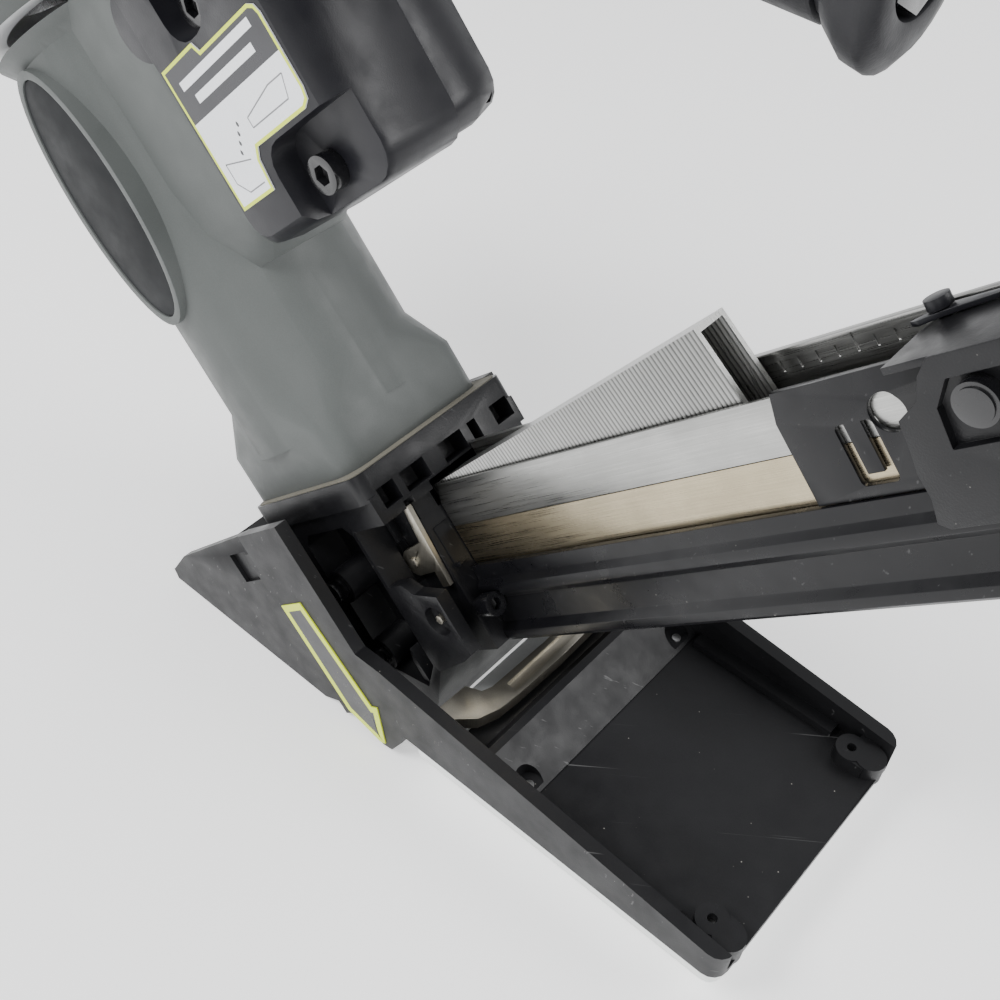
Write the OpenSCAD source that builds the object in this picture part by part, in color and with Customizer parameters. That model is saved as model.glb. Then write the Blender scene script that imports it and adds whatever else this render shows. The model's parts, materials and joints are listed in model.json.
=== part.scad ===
// Mallet-struck pneumatic flooring nailer for strip staples.
// World frame: +X towards the operator, +Y to the far side, +Z up, origin on the sole at the board edge.
// Driver frame (module drv): local x runs along the magazine, local z runs up the driver axis.

/* [Base] */
// Width over the base side walls
base_w = 109; // [107:1:111]
// Rear end of the base, from the board edge
base_rear = 121; // [118:1:124]
// Side wall thickness
wall_t = 5; // [4:0.5:6]
// Shoe thickness
shoe_t = 5; // [4:0.5:6]
// How far the front foot reaches below the sole
foot_drop = 11.6; // [10:0.2:12]

/* [Nose] */
// Angle between the driver axis and the sole
drive_angle = 45; // [44.5:0.5:45.5]
// Where the driver axis crosses the sole plane
exit_x = -19.6; // [-20:0.1:-19]
// Flange width
flange_w = 73; // [72:1:75]
// Underside of the flange along the driver axis
flange_d = 75; // [74.5:0.5:75.5]

/* [Body] */
// Outer radius of the cylinder neck
neck_r = 35.4; // [35:0.1:36]
// Outer radius of the head
head_r = 50; // [49:0.5:52]
// Bore radius of the cylinder sleeve
bore_r = 29; // [28.5:0.1:29.2]
// Driver stroke
stroke = 66; // [60:1:66]
// Travel of the strike cap
strike_travel = 8; // [6:1:8]

/* [Handle] */
// Height of the handle axis above the sole
handle_z = 290.5; // [287:0.5:291]
// Rear end of the rubber grip
grip_rear = 58; // [54:1:58]

/* [Magazine] */
// Number of staples in the strip
staples = 100; // [80:1:100]
// Thickness of one wire along the strip
staple_pitch = 1.65; // [1.6:0.01:1.66]
// Staple length with its crown
staple_len = 51; // [50:0.1:51]
// Tilt of the strip while it is loaded
strip_tilt = 8.8; // [6:0.1:8.8]
// Rear end of the magazine rails
mag_rear = 292; // [288:1:296]

/* [Fits] */
// Radial running clearance
run_fit = 0.05; // [0.03:0.01:0.08]
// Clearance between pieces that pass each other
free_gap = 0.3; // [0.3:0.1:0.4]

// Bore radius of the air inlet (quarter inch pipe thread, tapping size)
inlet_r = 5.56; // [5.4:0.02:6]

/* [Hidden] */
$fn = 64;
half_w = base_w / 2;
flange_half = flange_w / 2;
nose_half = 35;
gasket_t = 0.4;
body_d = flange_d + 10;          // lower face of the grey body
sleeve_r = bore_r + 2;
chamber_d = 252;                 // floor of the head chamber
head_d = 293;                    // top of the grey body
chamber_r = 44;
blade_tip_d = 66;
piston_d = 168;
slot_half = 8.4;                 // half width of the staple slot
wall_out = 11;                   // outer face of the near magazine wall
mag_front = 39.5;
strip_m = 21;                    // front lower corner of the strip
strip_d = 12;
cover_front = 192;
pusher_m = 236;                  // front face of the follower
rib_m = 21.8;
lever_m = 24.5;
lever_d = 46;
lever_y = -23.2;
roll_m = 268;
roll_d = 26.5;
roll_r = 14;
badge_d = 200;
body_m = 62.6;
housing_half = 36;
core_r = 13;
grip_front = -84;

// ---- helpers ----

// Places children in the driver frame
module drv() translate([exit_x, 0, 0]) rotate([0, -drive_angle, 0]) children();

// World [x, z] of a driver-frame point
function place(m, d) = [exit_x + m * cos(drive_angle) - d * sin(drive_angle),
                        m * sin(drive_angle) + d * cos(drive_angle)];

// Box between two corners on each axis
module box(x, y, z) translate([x[0], y[0], z[0]]) cube([x[1] - x[0], y[1] - y[0], z[1] - z[0]]);

// Corner points of a rounded rectangle, as a polygon with four steps to a corner
function round_rect(x, y, r, steps = 4) = [for (c = [0 : 3], i = [0 : steps])
  let (a = 90 * (c + i / steps),
       cx = (c == 0 || c == 3) ? x[1] - r : x[0] + r,
       cy = (c < 2) ? y[1] - r : y[0] + r) [cx + r * cos(a), cy + r * sin(a)]];
function ellipse(cx, cy, a, b, n = 48) =
  [for (i = [0 : n - 1]) [cx + a * cos(360 * i / n), cy + b * sin(360 * i / n)]];

module block(x, y, z, r) translate([0, 0, z[0]]) linear_extrude(z[1] - z[0]) polygon(round_rect(x, y, r));

// Plate with an outline in x and z, spanning y[0] to y[1]
module plate(points, y) translate([0, y[1], 0]) rotate([90, 0, 0]) linear_extrude(y[1] - y[0]) polygon(points);

// Bar with an outline in y and z, spanning x[0] to x[1]
module bar(points, x) translate([x[0], 0, 0]) rotate([90, 0, 90]) linear_extrude(x[1] - x[0]) polygon(points);

module rod_x(y, z, x, r) translate([x[0], y, z]) rotate([0, 90, 0]) cylinder(r = r, h = x[1] - x[0]);
module rod_y(x, z, y, r) translate([x, y[0], z]) rotate([-90, 0, 0]) cylinder(r = r, h = y[1] - y[0]);
module rod_z(x, y, z, r) translate([x, y, z[0]]) cylinder(r = r, h = z[1] - z[0]);
module both_sides() for (s = [0, 1]) mirror([0, s, 0]) children();

// Socket-head screw, head towards +z, its seat at z = 0
module socket_screw(head_r, head_h, shank_r, shank_l) difference() {
  union() {
    cylinder(r = head_r, h = head_h);
    translate([0, 0, -shank_l]) cylinder(r = shank_r, h = shank_l + 0.5);
  }
  translate([0, 0, head_h * 0.45]) cylinder(r = head_r * 0.55, h = head_h, $fn = 6);
}

// ---- base ----

front_hole = 36;
rear_hole = 109;
hole_y = 42;
shoe_holes = [for (x = [front_hole, rear_hole], y = [-hole_y, hole_y]) [x, y]];

module base_casting() color("#3b3b3d") difference() {
  union() {
    intersection() {
      both_sides() {
        plate([[base_rear, shoe_t], [base_rear, 17.2], [-21, 31.3], place(13, 31), place(13, 82),
               place(-16, 82), place(-16, 9.4), [-19, -9.5], [-15, -8.6], [-10, 1], [-10, shoe_t]],
              [half_w - wall_t, half_w]);
        plate([[-134, -7.5], place(-86, 75.5), place(-71, 79.5), place(-12, 82), place(-12, 9),
               [-38, -5], [-50, -foot_drop], [-132, -foot_drop]], [half_w - wall_t, half_w - 1.5]);
      }
      translate([0, 0, -20]) linear_extrude(220)
        polygon(round_rect([-140, base_rear], [-half_w, half_w], 6));
    }
    block([8, base_rear], [-half_w + 1, half_w - 1], [shoe_t, shoe_t + 3], 5);
    plate([[8, shoe_t], [40, shoe_t], [40, 8.6], [24, 20.5], [21, 20.5], [17, 14], [8, 12]],
          [-half_w + 1, half_w - 1]);
    both_sides() {
      box([42, 100], [half_w - 10, half_w - 4], [shoe_t, 11]);
      rod_z(rear_hole, hole_y, [shoe_t, 14], 5.5);
      rod_z(rear_hole + 7, hole_y + 1, [shoe_t, 14], 5.5);
      box([rear_hole, rear_hole + 7], [hole_y - 5, half_w - 1], [shoe_t, 13.6]);
    }
    box([-130, -56], [-half_w + 2, half_w - 2], [-foot_drop, -foot_drop + 4]);
    drv() box([-21, -17.2], [-half_w + 1, half_w - 1], [6, flange_d - 0.4]);
  }
  drv() both_sides() box([-34, -21.5], [half_w - 3.2, half_w + 1], [64, 75.5]);
  for (p = shoe_holes) rod_z(p[0], p[1], [shoe_t - 1, 15], 1.65);
  // wells in the ramp over the front screws
  both_sides() rod_z(front_hole, hole_y, [9.5, 22], 5);
}

module shoe_plate() color("#eef2f0") difference() {
  block([-6, base_rear - 1], [-half_w + 0.5, half_w - 0.5], [0, shoe_t], 5);
  for (p = shoe_holes) {
    rod_z(p[0], p[1], [-1, shoe_t + 1], 1.85);
    rod_z(p[0], p[1], [-1, 2.2], 3.4);
  }
}

module shoe_screws() color("#8b8d8f") for (p = shoe_holes)
  translate([p[0], p[1], 2.2]) mirror([0, 0, 1]) socket_screw(3.2, 2, 1.65, 8);

// Zinc clamp bar that ties the nose to the base walls
module clamp_bar() color("#bdb8a8") difference() {
  both_sides() translate([0, 0, 15.5]) linear_extrude(5.5)
    polygon([[15, -1], [14.4, 23], [13.7, 32], [11, 40], [5.5, 45.4], [5, half_w - wall_t],
             [-2.5, half_w - wall_t], [-1.6, 45], [-1.1, 33], [4.4, 30.7], [5.8, 27], [6.6, -1]]);
  box([8.6, 12.8], [-22.4, 22.4], [18.6, 22]);
}

module arrow_labels() color("#e2e437") both_sides() drv()
  plate([[-15.3, 53.4], [-1.3, 53.4], [2.4, 9.6], [5.8, 9], [-4, -6.4], [-6.4, -5.6], [-14.8, 8.6]],
        [half_w, half_w + 0.4]);

// ---- nose ----

nose_outline = [[-17, flange_d], [rib_m, flange_d], [rib_m, 9.2], [9.6, -2.5], [1.8, -9.6],
                [-12.4, 1.4], [-17, 6]];
side_screws = [[-8, 47], [-8, 18]];

module nose_casting() color("#333335") drv() difference() {
  union() {
    block([-32, 42], [-flange_half, flange_half], [flange_d, flange_d + 10 - gasket_t], 5);
    plate(nose_outline, [-nose_half, nose_half]);
    box([rib_m - 1, 42], [-nose_half, nose_half], [66.4, flange_d + 1]);
    box([rib_m - 1, 39], [-21, 21], [8, 67]);
    // lower cheeks with their round seats, and two upright ribs
    both_sides() {
      plate([[rib_m - 1, 9.2], [rib_m - 1, 44], [30, 44], [34, 40], [46, 38], [46, 15], [40, 12.8]],
            [nose_half - 5, nose_half]);
      plate([[23, 55], [23, 67], [25, 67], [25, 55]], [20, 24]);
    }
  }
  // side pockets around the two screw bosses
  both_sides() difference() {
    plate([[-13, 24], [-13, 65], [-9, 69], [16, 69], [19.8, 65], [19.8, 12], [9, 3.5], [-6, 12]],
          [nose_half - 13, nose_half + 1]);
    for (s = side_screws) rod_y(s[0], s[1], [nose_half - 14, nose_half + 2], 6.5);
    box([-17, -9], [nose_half - 14, nose_half + 2], [10, 44]);
    plate([[7, 3], [9.6, 3], [9.6, 19], [7, 14]], [nose_half - 14, nose_half - 1]);
  }
  both_sides() {
    rod_y(38.5, 29, [nose_half - 3, nose_half + 1], 5.6);
    box([23.5, 29], [20.4, 22], [50, 66]);
  }
  // pockets under the rear lip of the flange
  for (y = [[-31, -23.5], [-20.5, -9.5], [-2, 9], [12.5, 16.5], [24, 32.5]])
    box([33, 43], y, [70.2, 77.4]);
  box([36, 43], [-24.6, -20.4], [60, 69]);
  box([rib_m - 1, 43], [-12, 12], [60, 69.4]);
  // room for the lever eye behind the side wall
  box([18, 24.5], [-24.2, -20.9], [38.5, 54]);
  // staple slot and driver channel
  box([1.1, 43], [-slot_half, slot_half], [10.5, 68]);
  box([-1.2, 1.2], [-6.5, 6.5], [-12, flange_d + 11]);
  box([-4.05, -1], [-12, 12], [-12.5, 64]);
  for (m = [-27.5, 27.5]) both_sides() {
    rod_z(m, 26, [flange_d - 12, flange_d + 11], 3.1);
    rod_z(m, 26, [flange_d - 12, flange_d], 5.3);
  }
  for (s = side_screws) both_sides() rod_y(s[0], s[1], [nose_half - 24, nose_half + 2], 2.55);
  rod_y(lever_m, lever_d, [-22, -12], 2);
  rod_x(-16, 24, [26, 40], 2.5);
}

module driver_guide() color("#9a9c9f") drv() box([-4, -0.9 - free_gap], [-11.9, 11.9], [-6.3, 63.8]);

module nose_side_screws() color("#1f1f21") drv() both_sides() for (s = side_screws)
  translate([s[0], nose_half, s[1]]) rotate([-90, 0, 0]) socket_screw(4.4, 4.6, 2.55, 20);

module flange_gasket() color("#6d6a5e") drv() difference() {
  block([-31, 41], [-flange_half + 1, flange_half - 1], [body_d - gasket_t, body_d], 5);
  rod_z(0, 0, [body_d - 1, body_d + 1], 12);
  for (m = [-27.5, 27.5]) both_sides() rod_z(m, 26, [body_d - 1, body_d + 1], 3.1);
}

module flange_bolts() color("#202022") drv() for (m = [-27.5, 27.5]) both_sides()
  translate([m, 26, flange_d]) mirror([0, 0, 1]) socket_screw(5, 6, 3, 28);

// Zinc lever on the near cheek of the magazine socket
module nose_lever() color("#c3bda9") drv() difference() {
  union() {
    plate([[33, 35.3], [37.4, 35.3], [40.2, 66.6], [37, 66.6], [34.2, 50]], [lever_y, -21 - free_gap]);
    plate([[lever_m, lever_d + 5.2], [35, 53], [34.4, 41.5], [lever_m, lever_d - 5.2]],
          [lever_y, -21 - free_gap]);
    rod_y(lever_m, lever_d, [lever_y, -21 - free_gap], 5.2);
  }
  rod_y(lever_m, lever_d, [lever_y - 1, -20], 2 + run_fit);
}

module lever_pin() color("#d8d4c8") drv() {
  rod_y(lever_m, lever_d, [lever_y - 0.6, -12], 2);
  rod_y(38.5, 29, [-nose_half + 0.8, -nose_half + 3], 1.6);
}

// Thin plate edge at the front of the near rail
module rail_bracket() color("#c9c9c7") drv() {
  box([39, 39.4], [-18.4, -12], [39.5, 55]);
  box([39, 42], [-18.4, -17.2], [39.5, 41]);
}

// ---- body ----

bolt_spots = [for (m = [-27.5, 27.5], y = [-26, 26]) [m, y]];

module body_housing() color("#757b7b") drv() difference() {
  union() {
    hull() {
      block([-36.5, 35], [-32.5, 32.5], [body_d, 103], 9);
      rod_z(0, 0, [118, 120], neck_r - 0.8);
    }
    rotate_extrude() polygon([[0, 100], [neck_r, 100], [neck_r, 246], [head_r - 3, 261], [head_r, 265],
                              [head_r, head_d - 2], [head_r - 2, head_d], [0, head_d]]);
    both_sides() plate(ellipse(-2, badge_d, 19.5, 46), [neck_r - 12, neck_r + 2.4]);
    hull() {
      block([4, 40], [-18, 18], [156, 157], 9);
      block([4, body_m], [-25, 25], [172, 173], 11);
      block([4, body_m], [-27, 27], [190, 253], 11);
      block([4, 46], [-24, 24], [270, 271], 9);
    }
    box([-head_r, -35], [-20, 20], [264, 286]);
  }
  rod_z(0, 0, [body_d - 1, chamber_d + 1], sleeve_r);
  rod_z(0, 0, [chamber_d, head_d + 1], chamber_r);
  rod_x(0, 226, [20, body_m + 1], 9);
  block([37, body_m - 4], [-21, 21], [178, 248], 6);
  both_sides() plate(ellipse(-2, badge_d, 17, 43), [neck_r + 0.9, neck_r + 4]);
  for (p = bolt_spots) rod_z(p[0], p[1], [body_d - 1, 104], 3);
  for (a = [45 : 90 : 315]) rotate(a) rod_z(head_r - 3.9, 0, [268, head_d + 1], 1.5);
  rod_x(0, 275, [-head_r - 1, -38], 12);
  both_sides() rod_x(16, 275, [-head_r - 1, -head_r + 3.2], 1.5);
}

module badge_plates() color("#3f4144") drv() both_sides()
  plate(ellipse(-2, badge_d, 16.8, 42.8), [neck_r + 0.9, neck_r + 2]);

module cylinder_sleeve() color("#a9acb0") drv() difference() {
  rod_z(0, 0, [body_d, 190], sleeve_r);
  rod_z(0, 0, [body_d - 1, 191], bore_r);
  for (a = [0 : 45 : 315]) rotate(a) rod_x(0, 120, [0, sleeve_r + 1], 1.5);
}

module bumper() color("#1c1c1e") drv() rotate_extrude()
  polygon([[9, body_d], [bore_r, body_d], [bore_r, body_d + 12], [bore_r - 3, body_d + 15], [11, body_d + 15],
           [9, body_d + 12]]);

module piston() color("#b5b7ba") drv() rotate_extrude()
  polygon([[0, piston_d], [13, piston_d], [16, piston_d + 4], [bore_r - run_fit, piston_d + 4],
           [bore_r - run_fit, piston_d + 7], [bore_r - 2.6, piston_d + 7], [bore_r - 2.6, piston_d + 11],
           [bore_r - run_fit, piston_d + 11], [bore_r - run_fit, piston_d + 14], [0, piston_d + 14]]);

module piston_ring() color("#151516") drv() rotate_extrude()
  polygon([[bore_r - 2.6, piston_d + 7], [bore_r - run_fit, piston_d + 7.4],
           [bore_r - run_fit, piston_d + 10.6], [bore_r - 2.6, piston_d + 11]]);

module driver_blade() color("#8e9195") drv()
  box([-0.9, 0.9], [-6.2, 6.2], [blade_tip_d, piston_d]);

module main_valve() color("#d7d9da") drv() rotate_extrude()
  polygon([[33, 258], [chamber_r - run_fit, 258], [chamber_r - run_fit, 270], [36, 270], [33, 264]]);

module valve_spring() color("#9fa3a6") drv() difference() {
  rod_z(0, 0, [270.2, head_d], 41);
  rod_z(0, 0, [270, head_d + 1], 38);
}

module head_gasket() color("#6d6a5e") drv() difference() {
  rod_z(0, 0, [head_d, head_d + gasket_t], head_r - 0.5);
  rod_z(0, 0, [head_d - 1, head_d + 1], chamber_r);
  for (a = [45 : 90 : 315]) rotate(a) rod_z(head_r - 3.9, 0, [head_d - 1, head_d + 1], 1.7);
}

cap_d = head_d + gasket_t;

module head_cap() color("#35363a") drv() difference() {
  rotate_extrude() polygon([[0, cap_d], [head_r, cap_d], [head_r, cap_d + 6], [head_r - 6, cap_d + 12],
                            [24, cap_d + 15], [24, cap_d + 21], [0, cap_d + 21]]);
  rod_z(0, 0, [cap_d - 1, cap_d + 30], 10);
  rod_z(0, 0, [cap_d + 12, cap_d + 30], 17);
  for (a = [45 : 90 : 315]) rotate(a) {
    rod_z(head_r - 3.9, 0, [cap_d - 1, cap_d + 20], 1.6);
    rod_z(head_r - 3.9, 0, [cap_d + 3, cap_d + 20], 3.2);
  }
}

module head_cap_screws() color("#1f1f21") drv() for (a = [45 : 90 : 315]) rotate(a)
  translate([head_r - 3.9, 0, cap_d + 3]) socket_screw(2.9, 3.4, 1.5, 20);

module exhaust_cover() color("#35363a") drv() difference() {
  plate(round_rect([-head_r - 7, -head_r], [262, 288], 3), [-19, 19]);
  for (i = [-3 : 3]) box([-head_r - 8, -head_r - 3], [4 * i - 1, 4 * i + 1], [266, 284]);
  both_sides() rod_x(16, 275, [-head_r - 8, -head_r + 1], 1.5);
}

module exhaust_screws() color("#1f1f21") drv() both_sides()
  translate([-head_r - 7, 16, 275]) rotate([0, -90, 0]) socket_screw(2.6, 2.4, 1.5, 9);

cap_top = cap_d + 28 + strike_travel;

module strike_cap() color("#2a2b2e") drv() rotate_extrude()
  polygon([[0, cap_top - 6], [20, cap_top - 6], [26, cap_top - 3], [27, cap_top + 2], [25, cap_top + 6],
           [19, cap_top + 8], [0, cap_top + 8]]);

module strike_stem() color("#a9acb0") drv() rod_z(0, 0, [head_d - 15, cap_top - 6], 10 - run_fit);

module strike_spring() color("#9fa3a6") drv() difference() {
  rod_z(0, 0, [cap_d + 12, cap_top - 6], 16);
  rod_z(0, 0, [cap_d + 11, cap_top], 12.6);
}

// ---- handle ----

shell_screws = [[107, 167], [94, 222], [110, 268]];

// Near half, far half and the neck that runs into the grip
module housing_solid(side) {
  if (side < 0) {
    drv() hull() {
      plate(round_rect([63, 131], [157, 285], 9), [-24, 1]);
      plate(round_rect([64.2, 130], [158, 284], 9), [-32, 1]);
      plate(round_rect([69, 127.5], [161, 281], 7), [-housing_half, 1]);
    }
    drv() rod_y(71, 229, [-35, -28.5], 11.5);
  } else drv() hull() {
    plate(round_rect([63, 131], [159, 285], 9), [-1, 10]);
    plate(round_rect([64.2, 128], [161, 284], 9), [-1, 20]);
    plate(round_rect([72, 117], [170, 274], 6), [-1, 30]);
  }
  hull() {
    translate([-134, 0, 0]) rotate([90, 0, 90]) linear_extrude(2)
      polygon(ellipse(0, handle_z - 12, 22, 22, 32));
    translate([grip_front - 4, 0, 0]) rotate([90, 0, 90]) linear_extrude(3.6)
      polygon(ellipse(0, handle_z, 17.5, 19, 32));
  }
}

module housing_shell(side) color("#2f2f33") difference() {
  housing_solid(side);
  translate([-300, side > 0 ? -200 : 0, 0]) cube([600, 200, 500]);
  drv() difference() {
    union() {
      box([67, 126.5], [-22, 18], [162, 280]);
      box([100, 134], [-10, 10], [262, 278]);
    }
    for (s = shell_screws) rod_y(s[0], s[1], [-30, 30], 7);
  }
  drv() rod_x(0, 226, [60, 70], 9);
  rod_x(0, handle_z, [-125, grip_front + 2], core_r + 0.05);
  drv() for (s = shell_screws) rod_y(s[0], s[1], [-40, 24.2], 2.65);
  if (side < 0) drv() {
    plate(round_rect([94.5, 140], [145, 181], 8), [-40, -27]);
    plate(round_rect([84, 104], [214.8, 245], 8), [-40, -27]);
    plate(round_rect([101, 119], [259, 277], 8), [-40, -27]);
  }
}

module housing_shell_near() housing_shell(-1);
module housing_shell_far() housing_shell(1);

module housing_screws() color("#17171a") drv() for (s = shell_screws)
  translate([s[0], -27, s[1]]) rotate([90, 0, 0]) socket_screw(5.6, 5, 2.6, 50);

// Plain sheet on the near shell
module oiling_label() color("#f0f2f4") drv()
  plate([[70.7, 170.8], [90, 170.8], [91.3, 179.4], [93.8, 182.5], [122, 182.5], [125, 184], [126, 187],
         [126, 207.5], [125, 210], [122.5, 211.2], [93.2, 211.2], [91.5, 214.3], [70.7, 214.3]],
        [-housing_half - 0.4, -housing_half]);

module handle_core() color("#8f9296") difference() {
  rod_x(0, handle_z, [-120, inlet_x], core_r);
  rod_x(0, handle_z, [-121, 79], 9);
}

// Slice of the grip, half as wide as w and half as tall as h
module slice(x, w, h, t = 1) translate([x, 0, 0]) rotate([90, 0, 90]) linear_extrude(t)
  polygon(ellipse(0, handle_z, w, h, 32));

module grip_sleeve() color("#26262a") difference() {
  hull() {
    slice(grip_front, 17.5, 19);
    slice(-40, 17, 18);
    slice(30, 17, 18.2);
    slice(grip_rear - 1, 18.2, 19.6);
  }
  rod_x(0, handle_z, [grip_front - 1, grip_rear + 2], core_r + 0.05);
}

module grip_pommel() color("#242428") difference() {
  union() {
    slice(grip_rear, 17.2, 18.6, 2);
    hull() {
      slice(grip_rear + 2, 18.4, 20.4);
      slice(grip_rear + 7, 20.5, 25);
      slice(grip_rear + 11, 20.5, 25.8);
      slice(grip_rear + 14, 17.5, 21);
      slice(grip_rear + 15, 15, 17.5, 0.6);
    }
  }
  rod_x(0, handle_z, [grip_rear - 1, 90], core_r + 0.05);
}

inlet_x = 66;

module inlet_bushing() color("#b9a05a") difference() {
  union() {
    translate([inlet_x + 1, 0, handle_z]) rotate([0, 90, 0]) cylinder(r = 12.7, h = 6.4, $fn = 6);
    rod_x(0, handle_z, [inlet_x - 12, inlet_x + 2], 8.95);
  }
  rod_x(0, handle_z, [inlet_x - 13, inlet_x + 8], inlet_r);
}

module inlet_seal() color("#151516") difference() {
  rod_x(0, handle_z, [inlet_x, inlet_x + 1], 12);
  rod_x(0, handle_z, [inlet_x - 1, inlet_x + 2], 9);
}

// ---- magazine ----

module mag_rail() color("#2b2c2f") drv() difference() {
  bar([[-14, 7], [-15.5, 8.5], [-15.5, 11.5], [-13.4, 14], [-13.4, 23.5], [-15.5, 26], [-15.5, 29.5], [-13.6, 31.5],
       [-13.6, 36.5], [-11.2, 36.5], [-11.2, 32.8], [-slot_half, 32.8], [-slot_half, 11.4], [slot_half, 11.4],
       [slot_half, 36], [9.4, 36], [9.4, 60], [15, 60], [15, 26], [13.4, 23.5], [13.4, 14], [15, 11.5],
       [15, 8.5], [13.6, 7]], [mag_front, mag_rear]);
  for (m = [60, 280]) rod_y(m, 45, [8, 16], 1.6);
  rod_x(-18.4, 24, [mag_front - 1, mag_front + 10.5], 4.5);
}

module wear_plate() color("#cdc3a0") drv()
  box([mag_front, mag_rear], [-wall_out, -slot_half - 1], [33, 50.9]);

module top_liner() color("#b4b4b2") drv()
  bar([[-wall_out, 51.1], [-wall_out, 60], [-8.9, 66], [-7.6, 66], [-9.4, 60], [-9.4, 51.1]], [mag_front, mag_rear]);

module scale_rail() color("#a7a7a5") drv() difference() {
  bar([[9.4, 60.2], [9.4, 71.4], [12.2, 71.4], [12.2, 60.2]], [mag_front + 3, mag_rear]);
  for (i = [0 : 10]) box([176 + 6 * i, 176.5 + 6 * i], [9, 9.7], [65.5, i % 5 == 0 ? 70.5 : 68.5]);
}

module mag_cover() color("#2e2f33") drv() difference() {
  bar([[-12.8, 36.8], [-12.8, 60.4], [-10.2, 67.4], [-8, 67.4], [-8, 66.2], [-9.2, 66.2], [-11.2, 60.2],
       [-11.2, 36.8]], [cover_front, mag_rear]);
  difference() {
    plate(round_rect([207.5, 218.5], [40, 56.5], 1.5), [-14, -10]);
    plate([[210.5, 43], [215.5, 43], [215.5, 57], [210.5, 57]], [-12.8, -11.6]);
  }
  rod_y(223.5, 57, [-14, -9], 5);
}

module mag_end_cap() color("#26272a") drv() difference() {
  block([mag_rear, mag_rear + 8], [-16, 15.5], [6.5, 72], 2);
  rod_x(12, 20, [mag_rear - 1, mag_rear + 9], 1.7);
  rod_x(-12, 20, [mag_rear - 1, mag_rear + 9], 1.7);
}

module mag_screws() color("#1f1f21") drv() {
  for (m = [60, 280]) translate([m, 15, 45]) rotate([-90, 0, 0]) socket_screw(3, 2.6, 1.6, 5.5);
  both_sides() translate([mag_rear + 8, 12, 20]) rotate([0, 90, 0]) socket_screw(3, 3, 1.7, 8);
}

module mag_front_screw() color("#131316") drv() {
  translate([mag_front + 3.5, -18.4, 24]) rotate([0, 90, 0]) socket_screw(4.2, 6, 2.5, 3);
  rod_x(-18.4, 24, [39.2, mag_front + 3.5], 3.4);
}

// ---- pusher ----

module pusher_carriage() color("#1d1e20") drv() difference() {
  union() {
    plate([[244, 69.6], [240, 66], [237, 60.5], [230.5, 57], [229.7, 49.5], [228.6, 44], [229, 37.2],
           [227.4, 31], [230.3, 29.2], [284, 29.2], [284, 69.6]], [-19.5, -14]);
    box([232, 284], [-19, 8.6], [67.8, 69.6]);
  }
  // sunk field around the boss, and a slot in the lower flat
  plate([[240, 48], [280, 48], [280, 64], [246, 64], [241, 58]], [-20, -17]);
  plate(round_rect([258, 276], [34, 41], 3), [-20, -17.8]);
  rod_z(235, 5.4, [67, 70], 1.5);
  // relief over the rail's upper ledge
  box([226, 286], [-15.9, -13.9], [28, 31.9]);
}

module pusher_boss() color("#242528") drv() {
  rod_y(251, 57.5, [-21, -17], 5.4);
  rod_y(251, 57.5, [-21.8, -21], 4.4);
}

module follower() color("#8d8f92") drv()
  plate([[pusher_m, 13], [248, 13], [252, 22], [252, 52], [284, 52], [284, 67.8], [pusher_m, 67.8]],
        [-6, 6]);

// Thin tape along the slot floor that the spring roll winds in
module feed_tape() color("#b2b4b6") drv() box([mag_front + 5, roll_m], [-4.5, 4.5], [11.45, 11.65]);

module spring_roll() color("#a4a6a9") drv() difference() {
  rod_y(roll_m, roll_d, [-4.8, 4.8], roll_r);
  rod_y(roll_m, roll_d, [-6, 6], 5);
}

module spring_roll_pin() color("#8d8f92") drv() {
  rod_y(roll_m, roll_d, [-7.2, 7.2], 5 - run_fit);
  both_sides() plate(round_rect([roll_m - 4, roll_m + 4], [roll_d - 4, 60], 3), [6, 7.2]);
}

// Small lever that swings on the knob, over the top plate
module pusher_latch() color("#1a1a1c") drv() difference() {
  translate([0, 0, 70]) linear_extrude(1.4)
    polygon([[228.6, 1.4], [231, 0.6], [236, 2.6], [250, 4.6], [251.4, 6], [250, 7], [238, 7.6], [235, 8.6],
             [232.4, 7.4], [231.8, 4.6]]);
  rod_z(235, 5.4, [69, 72], 1.5 + run_fit);
}

module latch_knob() color("#17181a") drv() {
  rod_z(235, 5.4, [67.8, 72], 1.5);
  rod_z(235, 5.4, [71.7, 74.4], 3.2);
}

// ---- staples ----

strip_len = staples * staple_pitch;
crown_half = 6.35;
wire_w = 1.6;
// Outline of the stacked wires in plan, toothed on the near edge
function wire_rows(y_near, y_far, tooth) = concat(
  [for (i = [0 : staples - 1], s = [0, 1]) [(i + s * 0.62) * staple_pitch, y_near + s * tooth]],
  [[strip_len, y_near], [strip_len, y_far], [0, y_far]]);

module staple_strip() color("#a8a8a4") drv()
  translate([strip_m, 0, strip_d]) rotate([0, -strip_tilt, 0]) {
    linear_extrude(staple_len) polygon(wire_rows(-crown_half, wire_w - crown_half, 0.45));
    linear_extrude(staple_len) polygon(wire_rows(crown_half - wire_w, crown_half, 0.45));
    translate([0, 0, staple_len - wire_w]) linear_extrude(wire_w)
      polygon(wire_rows(-crown_half, crown_half - 0.2, 0.45));
    both_sides() rod_y(0, 0, [5, 6.1], 0.3);
  }

// ---- drawing ----

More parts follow.
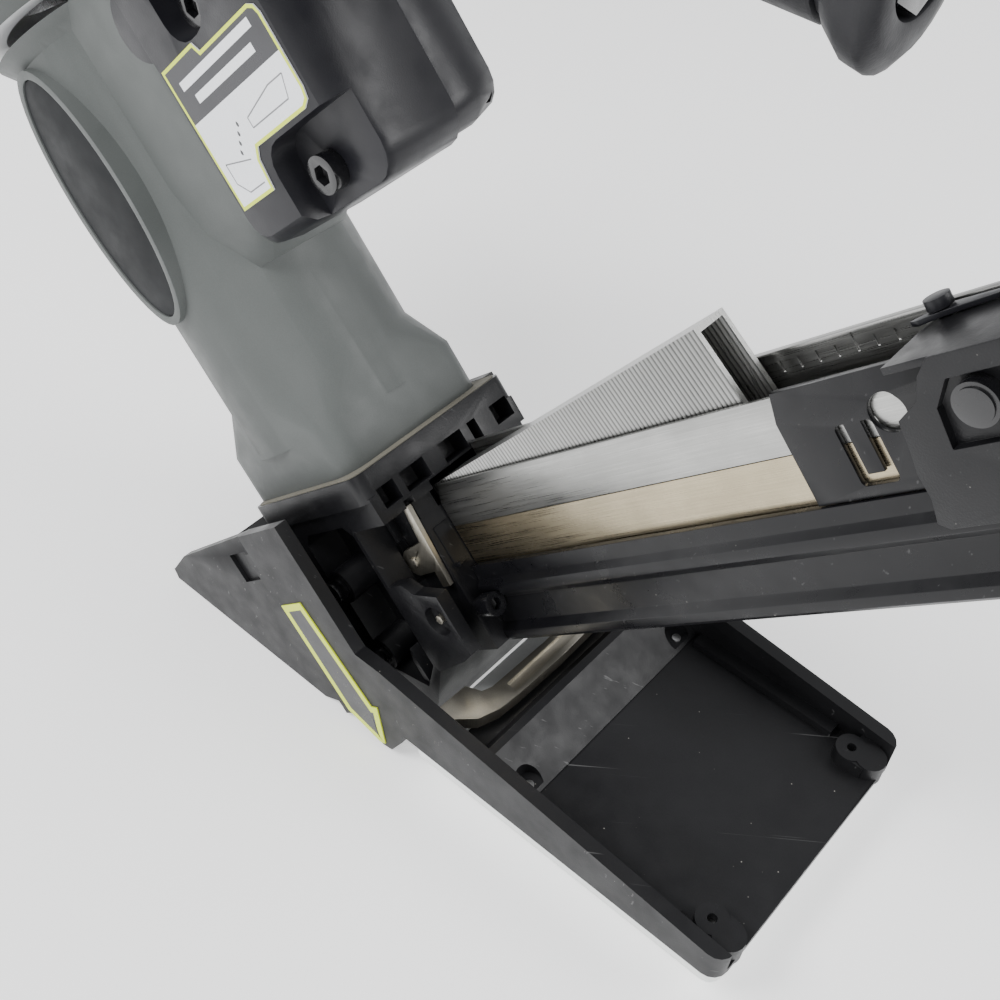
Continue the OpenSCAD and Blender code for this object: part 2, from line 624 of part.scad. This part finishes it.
base_casting();
shoe_plate();
shoe_screws();
clamp_bar();
arrow_labels();
nose_casting();
driver_guide();
nose_side_screws();
flange_gasket();
flange_bolts();
nose_lever();
lever_pin();
rail_bracket();
body_housing();
badge_plates();
cylinder_sleeve();
bumper();
piston();
piston_ring();
driver_blade();
main_valve();
valve_spring();
head_gasket();
head_cap();
head_cap_screws();
exhaust_cover();
exhaust_screws();
strike_cap();
strike_stem();
strike_spring();
housing_shell_near();
housing_shell_far();
housing_screws();
oiling_label();
handle_core();
grip_sleeve();
grip_pommel();
inlet_bushing();
inlet_seal();
mag_rail();
wear_plate();
top_liner();
scale_rail();
mag_cover();
mag_end_cap();
mag_screws();
mag_front_screw();
pusher_carriage();
pusher_boss();
follower();
feed_tape();
spring_roll();
spring_roll_pin();
pusher_latch();
latch_knob();
staple_strip();
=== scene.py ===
"""Looks of the strip-fed flooring nailer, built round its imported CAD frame."""
import json
import math

import bmesh
import bpy
from mathutils import Matrix, Vector


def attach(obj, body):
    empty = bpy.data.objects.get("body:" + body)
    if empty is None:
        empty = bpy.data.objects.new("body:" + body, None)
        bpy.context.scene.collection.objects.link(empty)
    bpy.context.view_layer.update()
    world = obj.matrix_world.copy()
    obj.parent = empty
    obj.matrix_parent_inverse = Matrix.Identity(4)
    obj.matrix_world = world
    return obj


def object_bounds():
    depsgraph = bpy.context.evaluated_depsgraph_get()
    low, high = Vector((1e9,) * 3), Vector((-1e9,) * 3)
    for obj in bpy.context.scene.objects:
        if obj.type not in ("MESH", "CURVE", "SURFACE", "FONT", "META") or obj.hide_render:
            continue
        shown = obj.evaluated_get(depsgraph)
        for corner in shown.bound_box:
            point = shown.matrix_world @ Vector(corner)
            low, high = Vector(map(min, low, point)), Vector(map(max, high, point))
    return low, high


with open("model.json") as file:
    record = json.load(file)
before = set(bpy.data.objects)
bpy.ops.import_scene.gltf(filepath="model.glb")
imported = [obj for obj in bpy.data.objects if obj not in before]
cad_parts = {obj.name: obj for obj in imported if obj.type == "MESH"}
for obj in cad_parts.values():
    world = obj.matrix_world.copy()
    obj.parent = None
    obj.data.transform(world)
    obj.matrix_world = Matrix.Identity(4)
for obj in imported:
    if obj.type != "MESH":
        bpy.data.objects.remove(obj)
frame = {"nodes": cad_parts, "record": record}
cad_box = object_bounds()

MM = 0.001
HALF = math.sqrt(0.5)
EXIT_X = -19.6                     # where the driver leaves the base, in mm
ALONG = (HALF, 0, HALF)            # along the magazine, towards the rear
UP_DRIVER = (-HALF, 0, HALF)       # up the driver
NODES = frame["nodes"]
SLOTS = {p["node"]: p["material_slot"] for p in frame["record"]["subparts"]}


def at(m, d, y=0.0):
    """A point in the row frame from driver-frame millimetres."""
    return Vector((EXIT_X + (m - d) * HALF, y, (m + d) * HALF)) * MM


# ---- materials ----

class Shader:
    """One procedural material, built from short calls."""

    def __init__(self, name):
        self.mat = bpy.data.materials.new(name)
        self.mat.use_nodes = True
        self.tree = self.mat.node_tree
        self.bsdf = self.tree.nodes["Principled BSDF"]
        self.place = self.node("ShaderNodeTexCoord").outputs["Object"]

    def node(self, kind, settings=None, **inputs):
        """Adds a node; an input is set or linked by its name, or by its number as _0, _1."""
        n = self.tree.nodes.new(kind)
        for key, value in (settings or {}).items():
            setattr(n, key, value)
        for key, value in inputs.items():
            socket = n.inputs[int(key[1:])] if key[0] == "_" and key[1:].isdigit() else n.inputs[key]
            self.put(socket, value)
        return n

    def put(self, socket, value):
        if isinstance(value, bpy.types.NodeSocket):
            self.tree.links.new(value, socket)
        else:
            socket.default_value = value

    def math(self, kind, a, b=0.0):
        return self.node("ShaderNodeMath", {"operation": kind}, _0=a, _1=b).outputs[0]

    def along(self, direction):
        """Distance in metres along a direction of the row frame."""
        return self.node("ShaderNodeVectorMath", {"operation": "DOT_PRODUCT"},
                         _0=self.place, _1=direction).outputs["Value"]

    def stretched(self, a, b, c, sa, sb, sc):
        """Texture coordinates along three directions, each with its own scale."""
        parts = [self.math("MULTIPLY", self.along(v), s) for v, s in ((a, sa), (b, sb), (c, sc))]
        return self.node("ShaderNodeCombineXYZ", None, _0=parts[0], _1=parts[1], _2=parts[2]).outputs[0]

    def noise(self, scale, detail=3.0, vector=None):
        return self.node("ShaderNodeTexNoise", None, Vector=vector or self.place,
                         Scale=scale, Detail=detail).outputs["Fac"]

    def band(self, value, low, high, out_low=0.0, out_high=1.0):
        """Stretches low..high to out_low..out_high, clamped."""
        n = self.node("ShaderNodeMapRange", None, Value=value)
        for key, number in (("From Min", low), ("From Max", high), ("To Min", out_low), ("To Max", out_high)):
            n.inputs[key].default_value = number
        return n.outputs[0]

    def blend(self, factor, a, b):
        """Colour a turning to colour b as factor rises from 0 to 1."""
        n = self.node("ShaderNodeMix", {"data_type": "RGBA"})
        self.put(n.inputs[0], factor)
        for socket, value in ((n.inputs[6], a), (n.inputs[7], b)):
            self.put(socket, value if isinstance(value, bpy.types.NodeSocket) else (*value, 1.0))
        return n.outputs[2]

    def bump(self, height, distance, strength=1.0):
        n = self.node("ShaderNodeBump", None, Height=height, Distance=distance, Strength=strength)
        self.put(self.bsdf.inputs["Normal"], n.outputs[0])

    def set(self, **inputs):
        for key, value in inputs.items():
            self.put(self.bsdf.inputs[key.replace("_", " ")], value)


def shade(colour, k):
    """A colour made k times as bright."""
    return tuple(min(1.0, c * k) for c in colour)


def coated(name, colour, rough=0.5, grain=2600, grain_depth=4e-5, specular=0.5, specks=0.0, uneven=0.16,
           coat=0.0):
    """Paint, powder coat, moulded plastic and rubber: fine grain, uneven gloss, marks and dust."""
    s = Shader(name)
    cloud = s.noise(38, 4)
    tone = s.blend(s.band(cloud, 0.3, 0.7), shade(colour, 1 - uneven), shade(colour, 1 + uneven))
    fine = s.noise(grain, 2)
    tone = s.blend(s.band(fine, 0.35, 0.75, 0.0, 0.25), tone, shade(colour, 1.5))
    if specks:
        dots = s.node("ShaderNodeTexVoronoi", None, Vector=s.place, Scale=330.0, Randomness=1.0)
        near = s.band(dots.outputs["Distance"], 0.02, 0.085, 1.0, 0.0)
        rare = s.band(s.noise(170, 2), 0.60, 0.66)
        tone = s.blend(s.math("MULTIPLY", s.math("MULTIPLY", near, rare), specks), tone, (0.42, 0.40, 0.37))
        scratch = s.noise(1.0, 2, s.stretched((0.8, 0.6, 0), (-0.6, 0.8, 0), (0, 0, 1), 14, 900, 300))
        tone = s.blend(s.band(scratch, 0.70, 0.76, 0.0, 0.35 * specks), tone, (0.22, 0.22, 0.22))
    s.set(Base_Color=tone, Roughness=s.band(s.noise(120, 4), 0.3, 0.7, rough - 0.07, rough + 0.09))
    s.bsdf.inputs["Specular IOR Level"].default_value = specular
    s.bsdf.inputs["Coat Weight"].default_value = coat
    s.bump(fine, grain_depth)
    return s


def plated(name, colour, rough=0.3, lines=ALONG, across=UP_DRIVER, fine=5200, stain=0.18):
    """Bare or plated metal with brushing along one direction, faint stains and scratches."""
    s = Shader(name)
    grain = s.noise(1.0, 3, s.stretched(lines, across, (0, 1, 0), 45, fine, fine))
    cloud = s.noise(70, 5)
    tone = s.blend(s.band(cloud, 0.35, 0.7), shade(colour, 1 - stain), shade(colour, 1 + stain * 0.5))
    tone = s.blend(s.band(grain, 0.3, 0.7, 0.0, 0.45), tone, shade(colour, 0.72))
    s.set(Base_Color=tone, Roughness=s.band(grain, 0.3, 0.7, rough - 0.06, rough + 0.12))
    s.bsdf.inputs["Metallic"].default_value = 1.0
    s.bump(grain, 2.0e-5, 0.5)
    return s


FINISH = {
    "base_black": lambda: coated("base_black", (0.0095, 0.0095, 0.0105), 0.42, 2300, 3e-5, 0.3, specks=1.0),
    "nose_black": lambda: coated("nose_black", (0.006, 0.006, 0.007), 0.36, 1700, 6e-5, 0.32, specks=0.4),
    "body_grey": lambda: coated("body_grey", (0.086, 0.093, 0.090), 0.48, 3000, 2.5e-5, 0.35, uneven=0.05),
    "rail_black": lambda: coated("rail_black", (0.004, 0.004, 0.005), 0.30, 3600, 1.5e-5, 0.3, specks=0.5),
    "black_plastic": lambda: coated("black_plastic", (0.008, 0.008, 0.0105), 0.36, 2100, 3e-5, 0.35),
    "grip_rubber": lambda: coated("grip_rubber", (0.008, 0.008, 0.010), 0.5, 1500, 5e-5, 0.35),
    "seal": lambda: coated("seal", (0.015, 0.015, 0.016), 0.5, 1600),
    "gasket": lambda: coated("gasket", (0.16, 0.15, 0.12), 0.8, 900, 8e-5),
    "screw_black": lambda: coated("screw_black", (0.005, 0.005, 0.006), 0.22, 4200, 1e-5, coat=0.3),
    "badge": lambda: coated("badge", (0.010, 0.011, 0.012), 0.55, 2600, 2e-5, 0.2),
    "shoe_white": lambda: coated("shoe_white", (0.80, 0.82, 0.80), 0.42, 900, 2e-5, uneven=0.03),
    "label_yellow": lambda: coated("label_yellow", (0.62, 0.74, 0.02), 0.3, 2600, 1e-5, uneven=0.04),
    "label_white": lambda: coated("label_white", (0.80, 0.82, 0.85), 0.3, 2600, 1e-5, uneven=0.03),
    "valve_white": lambda: coated("valve_white", (0.68, 0.69, 0.70), 0.4, 2000, 2e-5),
    "screw_steel": lambda: plated("screw_steel", (0.42, 0.42, 0.42), 0.34),
    "zinc": lambda: plated("zinc", (0.52, 0.49, 0.42), 0.36, (0, 1, 0), (1, 0, 0), 2600),
    "steel": lambda: plated("steel", (0.46, 0.46, 0.47), 0.28, UP_DRIVER, ALONG),
    "aluminium": lambda: plated("aluminium", (0.62, 0.63, 0.64), 0.34),
    "gold_plate": lambda: plated("gold_plate", (0.50, 0.43, 0.30), 0.27, fine=3800, stain=0.14),
    "silver_plate": lambda: plated("silver_plate", (0.46, 0.46, 0.445), 0.30, fine=4600, stain=0.12),
}


STRIP_TILT = math.radians(45 + 8.8)        # the magazine's slope and the strip's own lift
STRIP_ALONG = (math.cos(STRIP_TILT), 0, math.sin(STRIP_TILT))
STRIP_FRONT = at(21, 12)                   # lower front corner of the strip
WIRE_PITCH = 1.65 * MM
GROOVE = 0.62                              # where the groove lies in one pitch


def staple_steel():
    """Drawn wires side by side, with painted shade: a dark line in each groove between them."""
    s = plated("staple_steel", (0.50, 0.50, 0.485), 0.30, UP_DRIVER, ALONG, 2600, 0.08)
    offset = STRIP_FRONT.dot(Vector(STRIP_ALONG))
    turn = s.math("FRACT", s.math("DIVIDE", s.math("SUBTRACT", s.along(STRIP_ALONG), offset), WIRE_PITCH))
    groove = s.math("ABSOLUTE", s.math("SUBTRACT", turn, GROOVE))
    # painted shade: a dark line in each groove between the wires, one per wire pitch, where shade falls
    painted_groove_shade = s.band(groove, 0.06, 0.34, 1.0, 0.0)
    old = s.bsdf.inputs["Base Color"].links[0].from_socket
    s.set(Base_Color=s.blend(s.math("MULTIPLY", painted_groove_shade, 0.8), old, (0.09, 0.09, 0.088)))
    return s


FINISH["staple_steel"] = staple_steel
MATERIALS = {slot: make().mat for slot, make in FINISH.items()}
PRINT_DARK = coated("label_dark", (0.022, 0.022, 0.026), 0.3, 2600, 1e-5).mat
PRINT_GREY = coated("label_lines", (0.16, 0.16, 0.17), 0.3, 2600, 1e-5).mat


# ---- softened edges on the CAD pieces ----

CRISP_ANGLE = math.radians(32)
BEVEL_ANGLE = math.radians(38)
WELD_GAP = 0.01 * MM


def smooth_group():
    """Shades faces smooth and keeps edges sharper than CRISP_ANGLE crisp."""
    g = bpy.data.node_groups.new("smooth_by_angle", "GeometryNodeTree")
    g.interface.new_socket("Geometry", in_out="INPUT", socket_type="NodeSocketGeometry")
    g.interface.new_socket("Geometry", in_out="OUTPUT", socket_type="NodeSocketGeometry")
    start, end = g.nodes.new("NodeGroupInput"), g.nodes.new("NodeGroupOutput")
    faces = g.nodes.new("GeometryNodeSetShadeSmooth")
    faces.domain = "FACE"
    edges = g.nodes.new("GeometryNodeSetShadeSmooth")
    edges.domain = "EDGE"
    angle = g.nodes.new("GeometryNodeInputMeshEdgeAngle")
    small = g.nodes.new("FunctionNodeCompare")
    small.data_type, small.operation = "FLOAT", "LESS_THAN"
    small.inputs[1].default_value = CRISP_ANGLE
    g.links.new(start.outputs[0], faces.inputs["Geometry"])
    g.links.new(faces.outputs[0], edges.inputs["Geometry"])
    g.links.new(angle.outputs["Unsigned Angle"], small.inputs[0])
    g.links.new(small.outputs[0], edges.inputs["Shade Smooth"])
    g.links.new(edges.outputs[0], end.inputs[0])
    return g


SMOOTH = smooth_group()
PLAIN_BEVEL_MM = 0.25
BEVEL_MM = {"base_casting": 0.8, "nose_casting": 0.7, "body_housing": 1.0, "housing_shell_near": 0.9,
            "housing_shell_far": 0.9, "shoe_plate": 0.8, "mag_rail": 0.45, "mag_cover": 0.3,
            "pusher_carriage": 0.5, "clamp_bar": 0.7, "head_cap": 1.2, "strike_cap": 1.5,
            "exhaust_cover": 0.8, "grip_sleeve": 0.8, "grip_pommel": 0.8, "mag_end_cap": 0.8,
            "nose_lever": 0.3, "top_liner": 0.15, "wear_plate": 0.12, "scale_rail": 0.15,
            "rail_bracket": 0.15, "pusher_boss": 0.4}
NO_BEVEL = ("staple_strip", "feed_tape", "oiling_label", "arrow_labels", "flange_gasket", "head_gasket")


def soften(obj, width):
    """Joins the seams of a CAD mesh, bevels its sharp edges by width mm and smooths its round faces."""
    weld = obj.modifiers.new("weld", "WELD")
    weld.merge_threshold = WELD_GAP
    if width:
        bevel = obj.modifiers.new("bevel", "BEVEL")
        bevel.width = width * MM
        bevel.segments = 2
        bevel.limit_method = "ANGLE"
        bevel.angle_limit = BEVEL_ANGLE
        bevel.use_clamp_overlap = True
    obj.modifiers.new("smooth", "NODES").node_group = SMOOTH


for name, obj in NODES.items():
    obj.data.materials.clear()
    obj.data.materials.append(MATERIALS[SLOTS[name]])
    soften(obj, 0 if name in NO_BEVEL else BEVEL_MM.get(name, PLAIN_BEVEL_MM))


# ---- printed labels ----

LABEL_Y = -36.4                            # outer face of the notice on the housing
PRINT_LIFT = 0.05                          # how far ink stands off the film
FILM_LIFT = 0.03 * MM
NOTICE_SPLIT = at(0, 197.6, LABEL_Y)       # the dark field ends here


def placed(name, mesh):
    """A new object on the fixed body."""
    obj = bpy.data.objects.new(name, mesh)
    bpy.context.scene.collection.objects.link(obj)
    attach(obj, "frame")
    return obj


def printed(node, side, rim, mats, divide=None):
    """A film on the outer face of a CAD label: a rim in mats[0] round a middle in mats[1].
    The middle is in mats[2] above the point divide, up the driver."""
    bm = bmesh.new()
    bm.from_mesh(NODES[node].data)
    bmesh.ops.remove_doubles(bm, verts=bm.verts, dist=1e-6)
    keep = [f for f in bm.faces if f.normal.y * side > 0.9 and f.calc_center_median().y * side > 0.02]
    bmesh.ops.delete(bm, geom=[f for f in bm.faces if f not in keep], context="FACES")
    bmesh.ops.dissolve_limit(bm, angle_limit=0.02, verts=bm.verts, edges=bm.edges)
    bmesh.ops.translate(bm, verts=bm.verts, vec=(0, side * FILM_LIFT, 0))
    border = bmesh.ops.inset_region(bm, faces=bm.faces[:], thickness=rim * MM, use_boundary=True,
                                    use_even_offset=True)["faces"]
    for f in bm.faces:
        f.material_index = 0 if f in border else 1
    if divide is not None:
        inner = [f for f in bm.faces if f.material_index == 1]
        edges = {e for f in inner for e in f.edges}
        verts = {v for f in inner for v in f.verts}
        bmesh.ops.bisect_plane(bm, geom=list(verts) + list(edges) + inner, plane_co=divide,
                               plane_no=UP_DRIVER)
        for f in bm.faces:
            if f.material_index and (f.calc_center_median() - divide).dot(Vector(UP_DRIVER)) > 0:
                f.material_index = 2
    mesh = bpy.data.meshes.new(node + "_print")
    bm.to_mesh(mesh)
    bm.free()
    for mat in mats:
        mesh.materials.append(mat)
    return placed(node + ("_near" if side < 0 else "_far"), mesh)


for side in (-1, 1):
    printed("arrow_labels", side, 2.7, (MATERIALS["label_yellow"], PRINT_DARK))
printed("oiling_label", -1, 1.0,
        (MATERIALS["label_yellow"], MATERIALS["label_white"], PRINT_DARK), NOTICE_SPLIT)


def film(name, outline, mat):
    """A thin printed shape on the housing's near face; outline is (m, d) in mm."""
    mesh = bpy.data.meshes.new(name)
    mesh.from_pydata([at(m, d, LABEL_Y - PRINT_LIFT) for m, d in outline], [], [tuple(range(len(outline)))])
    mesh.materials.append(mat)
    return placed(name, mesh)


def stroke(name, start, end, width, mat):
    """A straight line of print with its own width."""
    (am, ad), (bm, bd) = start, end
    length = math.hypot(bm - am, bd - ad)
    sm, sd = -(bd - ad) / length * width / 2, (bm - am) / length * width / 2
    film(name, [(am + sm, ad + sd), (bm + sm, bd + sd), (bm - sm, bd - sd), (am - sm, ad - sd)], mat)


def drop(name, m, d, r):
    """A plain oil drop."""
    turns = [k * math.pi / 8 for k in range(16)]
    film(name, [(m + r * math.sin(a) * (1 - 0.5 * max(0.0, math.cos(a))), d + r * 1.5 * math.cos(a))
                for a in turns], PRINT_DARK)


# plain bars in the dark field, and a plain line drawing of a dripping spout below
for k, (left, right, d) in enumerate(((76, 120, 207.6), (80, 116, 202.4))):
    stroke("notice_bar_%d" % k, (left, d), (right, d), 2.6, MATERIALS["label_white"])
SPOUT = [((97, 187), (118, 187)), ((118, 187), (121, 193)), ((97, 187), (97, 190)), ((97, 190), (113, 193)),
         ((113, 193), (121, 193)), ((75, 178), (79, 174)), ((79, 174), (88, 174)), ((75, 178), (75, 184)),
         ((75, 184), (88, 181))]
for k, (start, end) in enumerate(SPOUT):
    stroke("notice_line_%d" % k, start, end, 0.4, PRINT_GREY)
for k in range(4):
    drop("notice_drop_%d" % k, 91 - 1.8 * k, 190.5 - 2.2 * k, 0.55)


# ---- camera, floor and light ----

CAMERA_MM = (168.31, -243.05, 396.29)
LENS_MM = 48.33
AIM = Vector((0.0, 0.0, 0.1))              # the lights look here


def camera():
    """The photograph's viewpoint."""
    right, up, back = (0.7557, 0.6525, 0.0556), (-0.5024, 0.5231, 0.6885), (0.4201, -0.5482, 0.7232)
    cam = bpy.data.objects.new("camera", bpy.data.cameras.new("camera"))
    bpy.context.scene.collection.objects.link(cam)
    cam.data.sensor_width = 36.0
    cam.data.lens = LENS_MM
    cam.data.clip_start, cam.data.clip_end = 0.01, 20.0
    turn = Matrix((right, up, back)).transposed().to_4x4()
    cam.matrix_world = Matrix.Translation(Vector(CAMERA_MM) * MM) @ turn
    bpy.context.scene.camera = cam


def area_light(name, place, size, power):
    """A square soft light, aimed at the middle of the tool."""
    light = bpy.data.lights.new(name, "AREA")
    light.size, light.energy = size, power
    obj = bpy.data.objects.new(name, light)
    bpy.context.scene.collection.objects.link(obj)
    obj.location = place
    obj.rotation_euler = (Vector(place) - AIM).to_track_quat("Z", "Y").to_euler()


def studio():
    """Pale paper floor, even white surroundings and three soft lights."""
    z, half = cad_box[0].z - 0.4 * MM, 4
    mesh = bpy.data.meshes.new("floor")
    mesh.from_pydata([(-half, -half, z), (half, -half, z), (half, half, z), (-half, half, z)], [],
                     [(0, 1, 2, 3)])
    floor = bpy.data.objects.new("floor", mesh)
    bpy.context.scene.collection.objects.link(floor)
    s = Shader("floor_paper")
    s.set(Base_Color=s.blend(s.noise(9, 3), (0.90, 0.90, 0.90), (0.93, 0.93, 0.93)))
    s.bsdf.inputs["Roughness"].default_value = 0.9
    s.bsdf.inputs["Emission Color"].default_value = (1.0, 1.0, 1.0, 1.0)
    s.bsdf.inputs["Emission Strength"].default_value = 0.55
    mesh.materials.append(s.mat)
    world = bpy.data.worlds.new("studio")
    world.use_nodes = True
    world.node_tree.nodes["Background"].inputs[0].default_value = (0.97, 0.98, 1.0, 1.0)
    world.node_tree.nodes["Background"].inputs[1].default_value = 0.7
    bpy.context.scene.world = world
    area_light("key", (-0.55, -0.75, 1.15), 0.6, 19.0)
    area_light("rim", (0.95, 0.55, 0.85), 0.6, 9.0)
    area_light("fill", (0.75, -0.95, 0.45), 0.9, 5.0)


camera()
studio()
